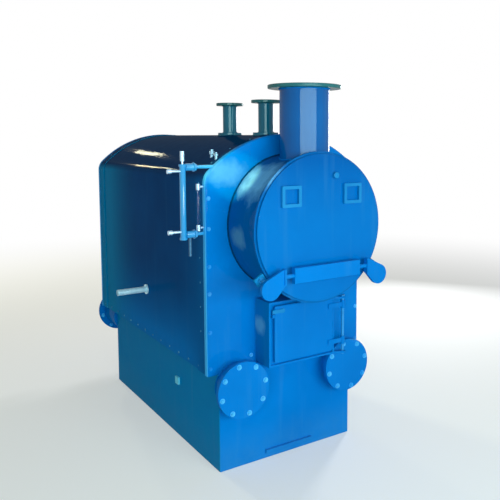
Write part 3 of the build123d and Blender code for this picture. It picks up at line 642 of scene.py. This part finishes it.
# The seam's bead is dark as painted shade where the shell meets the plate.
seam_shade_enamel = enamel("seam_shade_enamel", (0.0, 0.05, 0.16, 1), (0.0, 0.04, 0.12, 1), gloss=0.03, wave=0.0001,
                     dust=0.5)
lay_beads("smoke_box_welds", [upright_ring(0, ring_rear + bead_off, smoke_centre, smoke_radius + bead_out)])
lay_beads("smoke_box_shade_seam", [upright_ring(0, front - bead_off, smoke_centre, smoke_radius + seam_out)],
          seam_bead, seam_shade_enamel)

# The joint behind the door is packed with a plaited fibre rope, which shows as a pale line round its edge.
rope_strands = 60.0
rope_dark = (0.36, 0.34, 0.3, 1)
rope_pale = (0.66, 0.63, 0.56, 1)
rope, rope_tree, rope_shader = new_material("gasket_rope", Roughness=0.95)
rope_place = split_vector(rope_tree, object_place(rope_tree))
rope_height = math_node(rope_tree, "SUBTRACT", rope_place["Z"], smoke_centre)
rope_angle = math_node(rope_tree, "ARCTAN2", rope_place["X"], rope_height)
rope_turns = math_node(rope_tree, "MULTIPLY", rope_angle, rope_strands)
rope_plait = math_node(rope_tree, "PINGPONG", rope_turns, 0.5)
rope_share = math_node(rope_tree, "MULTIPLY", rope_plait, 2.0)
rope_tone = blend_colours(rope_tree, rope_share, rope_dark, rope_pale)
rope_tree.links.new(rope_tone, rope_shader.inputs["Base Color"])
raise_surface(rope_tree, rope_shader, (rope_plait, 0.002))
finish_nodes(rope, "door_gasket")

# Two square grips and a knob stand on the door's upper half. The grips are bent from square bar and welded
# on at their backs.
grip_enamel = enamel("grip_enamel", (0.01, 0.26, 0.6, 1), (0.0, 0.2, 0.52, 1), gloss=0.35, wave=0.0001,
                     dust=0.2)
finish_nodes(grip_enamel, "door_grips", "door_knob")

# A flat bar clamps the door across its lower half. Its ears are flat paddles, and a tie bolt at each end
# draws it to a lug that is welded to the ring.
finish_nodes(azure_enamel, "clamp_bar", "clamp_ears", "bar_keepers")
finish_nodes(grip_enamel, "clamp_lugs")


def bare_metal(name, colour, stain, roughness, metallic=1.0):
    """Metal with a brushed, slightly stained surface."""
    material, tree, shader = new_material(name, Metallic=metallic)
    place = object_place(tree)
    stains = spread(tree, pattern(tree, place, 22, 6), 0.42, 0.72)
    tree.links.new(blend_colours(tree, stains, colour, stain), shader.inputs["Base Color"])
    grain = pattern(tree, place, 160, 3)
    brushed = spread(tree, grain, 0.3, 0.7, roughness, roughness + 0.16)
    tree.links.new(brushed, shader.inputs["Roughness"])
    raise_surface(tree, shader, (grain, 0.0003))
    return material


sprayed_steel = bare_metal("sprayed_steel", (0.01, 0.27, 0.66, 1), (0.0, 0.2, 0.52, 1), 0.45, metallic=0.1)
finish_nodes(sprayed_steel, "tie_bolts")

# The flue pipe rises from the smoke box through a saddle weld and ends in a loose flange in dark teal.
flue_low, flue_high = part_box("flue_pipe")
flue_x = (flue_low.x + flue_high.x) / 2
flue_y = (flue_low.y + flue_high.y) / 2
flue_radius = (flue_high.x - flue_low.x) / 2
flange_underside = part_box("flue_flange")[0].z
flue_enamel = enamel("flue_enamel", (0.0, 0.115, 0.38, 1), (0.0, 0.09, 0.32, 1), gloss=0.34, wave=0.0004,
                     dust=0.3)
teal_primer = enamel("teal_primer", (0.04, 0.19, 0.19, 1), (0.02, 0.13, 0.15, 1), gloss=0.3, wave=0.0003,
                     dust=0.2)
finish_nodes(flue_enamel, "flue_pipe")
finish_nodes(teal_primer, "flue_flange")


def level_ring(centre_x, centre_y, z, radius, steps=72):
    """A circle in a level plane."""
    turns = [2 * pi * n / steps for n in range(steps)]
    return [(centre_x + radius * cos(turn), centre_y + radius * sin(turn), z) for turn in turns]


saddle_steps = 96
saddle_radius = flue_radius + bead_out
saddle = []
for number in range(saddle_steps):
    angle = 2 * pi * number / saddle_steps
    across = saddle_radius * sin(angle)
    height = smoke_centre + sqrt((smoke_radius + bead_out) ** 2 - across ** 2)
    saddle.append((flue_x + across, flue_y + saddle_radius * cos(angle), height))
lay_beads("flue_welds", [saddle, level_ring(flue_x, flue_y, flange_underside - bead_off, saddle_radius)])

# Two flanged steam outlets stand on round pads along the crown: one for the safety valve, and behind it
# one for the main valve. Their bolt holes are open.
outlet_pipe_radius = 0.05715
outlet_bead = 0.004
outlet_steps = 40
pad_steps = 56
pad_rise = 0.01
pad_foot_sink = 0.007
outlet_enamel = enamel("outlet_enamel", (0.008, 0.2, 0.31, 1), (0.005, 0.15, 0.24, 1), gloss=0.4,
                       wave=0.0002, dust=0.2)


def pad_foot(centre_y, radius):
    """The line where a round pad meets the crown."""
    path = []
    for number in range(pad_steps):
        angle = 2 * pi * number / pad_steps
        across = radius * cos(angle)
        height = crown_centre + sqrt((crown_radius - pad_foot_sink) ** 2 - across ** 2)
        path.append((across, centre_y + radius * sin(angle), height))
    return path


outlet_welds = []
for outlet, flange in (("safety_outlet", "safety_flange"), ("steam_outlet", "steam_flange")):
    finish_nodes(outlet_enamel, outlet)
    finish_nodes(teal_primer, flange)
    outlet_low, outlet_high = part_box(outlet)
    outlet_y = (outlet_low.y + outlet_high.y) / 2
    pad_radius = (outlet_high.y - outlet_low.y) / 2
    for height in (crown_z + pad_rise + bead_off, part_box(flange)[0].z - bead_off):
        outlet_welds.append(level_ring(0, outlet_y, height, outlet_pipe_radius + bead_out, outlet_steps))
    outlet_welds.append(pad_foot(outlet_y, pad_radius + bead_off))
lay_beads("outlet_welds", outlet_welds, outlet_bead, outlet_enamel)

# Two plugged stubs stand on the crown's left slope, one for a gauge and one for a vent. Each is a turned
# bush, worn bare, with a square-shouldered plug screwed into its top.
stub_low, stub_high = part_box("crown_stubs")
main_bush_top = stub_high.z - 0.088
main_plug = ((0.014, 0.0), (0.019, 0.002), (0.02, 0.018), (0.018, 0.022), (0.012, 0.022), (0.011, 0.034))
main_stub_place = (-0.495, stub_high.y - 0.02)
vent_bush_top = stub_low.z + 0.026
vent_plug = ((0.01, 0.0), (0.0145, 0.001), (0.015, 0.014), (0.013, 0.017), (0.008, 0.017), (0.007, 0.026))
vent_stub_place = (-0.522, stub_low.y + 0.015)
stub_sides = 40


def turned(name, foot, bush_top, plug, centre, material):
    """Turns a bush from its foot to its top, with a plug of radii and rises above that, as one piece."""
    profile = [(plug[0][0], foot)] + [(radius, bush_top + rise) for radius, rise in plug]
    turns = [2 * pi * n / stub_sides for n in range(stub_sides)]
    form = bmesh.new()
    rings = [[form.verts.new((centre[0] + radius * cos(turn), centre[1] + radius * sin(turn), height))
              for turn in turns] for radius, height in profile]
    for lower, upper in zip(rings, rings[1:]):
        for n in range(stub_sides):
            after = (n + 1) % stub_sides
            form.faces.new((lower[n], lower[after], upper[after], upper[n]))
    form.faces.new(list(reversed(rings[0])))
    form.faces.new(rings[-1])
    mesh = bpy.data.meshes.new(name)
    form.to_mesh(mesh)
    form.free()
    mesh.materials.append(material)
    piece = bpy.data.objects.new(name, mesh)
    scene.collection.objects.link(piece)
    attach(piece, "boiler")
    return piece


stub_metal = bare_metal("stub_metal", (0.35, 0.55, 0.7, 1), (0.14, 0.3, 0.45, 1), 0.3, metallic=0.6)
main_stub = turned("main_stub", stub_low.z, main_bush_top, main_plug, main_stub_place, stub_metal)
vent_stub = turned("vent_stub", stub_low.z, vent_bush_top, vent_plug, vent_stub_place, stub_metal)
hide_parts("crown_stubs")
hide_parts("crown_stubs")

# The fire box is a welded mouth of plate with a frame set in it. The door hangs on lugs from a rod that
# two brackets hold, and a turning latch drops onto a rest.
fire_low, fire_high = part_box("fire_box")
# The fire box's sideways faces take a darker tone as painted shade, and a pale patch on its left side is
# painted light.
fire_side_shade = (0.0, 0.19, 0.5, 1)
fire_light_patch = ((-0.28, -1.15, 1.03), (0.08, 0.08, 0.07), (0.1, 0.38, 0.62, 1))
fire_enamel = enamel("fire_enamel", azure, azure_shade, side=fire_side_shade, light_patches=(fire_light_patch,))
finish_nodes(fire_enamel, "fire_box", "fire_frame")
finish_nodes(azure_enamel, "fire_door", "door_straps", "hinge_brackets", "latch_rest")
finish_nodes(grip_enamel, "door_latch")
finish_nodes(sprayed_steel, "hinge_rod")

fire_weld_x = (fire_low.x - bead_out, fire_high.x + bead_out)
fire_weld_z = (fire_low.z - bead_out, fire_high.z + bead_out)
fire_weld_corners = ((0, 0), (1, 0), (1, 1), (0, 1))
lay_beads("fire_box_welds", [[(fire_weld_x[across], front - bead_off, fire_weld_z[up])
                              for across, up in fire_weld_corners]])

# The furnace is lined with fired bricks, sooty towards the mouth, above a grate of cast bars that ash has
# turned grey.
lining_low, lining_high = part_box("furnace_lining")
lining_middle = (lining_low.z + lining_high.z) / 2
lining_radius = 0.34
brick_sizes = {"Scale": 1.0, "Brick Width": 0.23, "Row Height": 0.068, "Mortar Size": 0.003}
brick_colours = {"Color1": (0.42, 0.3, 0.2, 1), "Color2": (0.5, 0.39, 0.28, 1),
                 "Mortar": (0.22, 0.2, 0.18, 1)}
brick_soot_colour = (0.03, 0.027, 0.025, 1)

brick, brick_tree, brick_shader = new_material("fire_brick", Roughness=0.92)
brick_coordinates = object_place(brick_tree)
brick_place = split_vector(brick_tree, brick_coordinates)
brick_height = math_node(brick_tree, "SUBTRACT", brick_place["Z"], lining_middle)
brick_angle = math_node(brick_tree, "ARCTAN2", brick_place["X"], brick_height)
brick_round = math_node(brick_tree, "MULTIPLY", brick_angle, lining_radius)
brick_vector = add_node(brick_tree, "ShaderNodeCombineXYZ", {"X": brick_place["Y"], "Y": brick_round})
bricks = add_node(brick_tree, "ShaderNodeTexBrick",
                  {"Vector": brick_vector.outputs[0], **brick_colours, **brick_sizes}).outputs
brick_soot = spread(brick_tree, pattern(brick_tree, brick_coordinates, 4, 6), 0.38, 0.62, 0.25, 0.9)
brick_tone = blend_colours(brick_tree, brick_soot, bricks["Color"], brick_soot_colour)
brick_tree.links.new(brick_tone, brick_shader.inputs["Base Color"])
raise_surface(brick_tree, brick_shader, (math_node(brick_tree, "SUBTRACT", 1.0, bricks["Fac"]), 0.003),
              (pattern(brick_tree, brick_coordinates, 90, 5), 0.0015))
finish_nodes(brick, "furnace_lining")

iron, iron_tree, iron_shader = new_material("grate_iron", Metallic=0.7)
iron_place = object_place(iron_tree)
iron_ash = spread(iron_tree, pattern(iron_tree, iron_place, 9, 6), 0.45, 0.65)
iron_tone = blend_colours(iron_tree, iron_ash, (0.05, 0.045, 0.042, 1), (0.24, 0.22, 0.2, 1))
iron_tree.links.new(iron_tone, iron_shader.inputs["Base Color"])
iron_tree.links.new(spread(iron_tree, iron_ash, 0, 1, 0.5, 0.9), iron_shader.inputs["Roughness"])
raise_surface(iron_tree, iron_shader, (pattern(iron_tree, iron_place, 120, 5), 0.0012))
finish_nodes(iron, "fire_grate")

# A flanged neck with a round cover closes the end of each lower header, front and rear. Eight painted
# bolts hold each cover; on the rear ones their heads are on the neck flange's side.
cover_low, cover_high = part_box("header_covers")
finish_nodes(azure_enamel, "header_necks", "header_covers")
cover_radius = (cover_high.z - cover_low.z) / 2
cover_z = (cover_high.z + cover_low.z) / 2
cover_x = cover_high.x - cover_radius
cover_thickness = 0.018
neck_flange_thickness = 0.018
neck_radius = 0.15
neck_weld_steps = 64
cover_bolt_head = 0.0145
cover_bolt_shank = 0.006
cover_bolt_reach = 0.173
cover_bolt_turns = [radians(-12.8) + n * pi / 4 for n in range(8)]
# The cover bolts' pale blue is a painted highlight.
cover_bolt_highlight_enamel = enamel("cover_bolt_highlight_enamel", (0.1, 0.56, 0.92, 1), (0.02, 0.34, 0.8, 1), gloss=0.6,
                           wave=0.0001, dust=0.2)


def cover_seats(y):
    """The seats round the left and the right cover, facing the front."""
    return [((side * cover_x + cover_bolt_reach * sin(turn), y, cover_z + cover_bolt_reach * cos(turn)),
             (0, -1, 0)) for side in (-1, 1) for turn in cover_bolt_turns]


rear_flange_y = cover_high.y - cover_thickness - neck_flange_thickness
for bolts_name, bolts_y in (("cover_bolts", cover_low.y), ("rear_cover_bolts", rear_flange_y)):
    set_bolts(bolts_name, cover_seats(bolts_y), cover_bolt_head, cover_bolt_highlight_enamel, shank=cover_bolt_shank)
lay_beads("neck_welds", [upright_ring(side * cover_x, front - bead_off, cover_z, neck_radius + bead_out,
                                      neck_weld_steps) for side in (-1, 1)])

# The water column hangs on two links at the left side, with a gauge glass beside it. Its pipes are painted,
# and the cocks, their fittings and the drain are bare.
# The column's paint is paler than the azure as a painted highlight.
column_highlight_enamel = enamel("column_highlight_enamel", (0.04, 0.36, 0.74, 1), (0.02, 0.3, 0.66, 1), gloss=0.9,
                       wave=0.0001, dust=0.2)
bright_steel = bare_metal("bright_steel", (0.5, 0.68, 0.84, 1), (0.3, 0.45, 0.6, 1), 0.25, metallic=0.8)
dull_steel = bare_metal("dull_steel", (0.05, 0.15, 0.27, 1), (0.03, 0.09, 0.17, 1), 0.45, metallic=0.5)
finish_nodes(column_highlight_enamel, "level_column", "column_links")
finish_nodes(bright_steel, "gauge_cocks")
finish_nodes(dull_steel, "column_drain")

column_low, column_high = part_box("level_column")
link_low, link_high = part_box("column_links")
column_y = (column_low.y + column_high.y) / 2
union_radius = 0.024
union_x = (column_low.x + column_high.x) / 2 + 0.075
union_heights = (link_high.z - union_radius, link_low.z + union_radius)
set_bolts("column_unions", [((union_x, column_y, height), (1, 0, 0)) for height in union_heights],
          union_radius, column_highlight_enamel)

glass, glass_tree, glass_shader = new_material("gauge_glass", Roughness=0.03, Transmission_Weight=1.0,
                                               IOR=1.06, Coat_Weight=0.5)
glass_film = spread(glass_tree, pattern(glass_tree, object_place(glass_tree), 30, 4), 0.4, 0.7)
glass_tone = blend_colours(glass_tree, glass_film, (0.5, 0.85, 1.0, 1), (0.4, 0.74, 0.92, 1))
glass_tree.links.new(glass_tone, glass_shader.inputs["Base Color"])
finish_nodes(glass, "gauge_glass")

# The feed pipe's stub is galvanized and stands out from a welded pad, low on the left side. Its pale cyan
# is partly the zinc and partly a painted highlight.
feed_bead = 0.003
feed_steps = 40
zinc_and_highlight = bare_metal("zinc_and_highlight", (0.62, 0.84, 0.95, 1), (0.42, 0.66, 0.8, 1), 0.35, metallic=0.25)
finish_nodes(zinc_and_highlight, "feed_stub")
feed_low, feed_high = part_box("feed_stub")
feed_y = (feed_low.y + feed_high.y) / 2
feed_z = (feed_low.z + feed_high.z) / 2
feed_weld_radius = (feed_high.z - feed_low.z) / 2 + bead_off
feed_turns = [2 * pi * n / feed_steps for n in range(feed_steps)]
feed_path = [(feed_high.x - bead_off, feed_y + feed_weld_radius * cos(turn),
              feed_z + feed_weld_radius * sin(turn)) for turn in feed_turns]
lay_beads("feed_weld", [feed_path], feed_bead, jacket_enamel)
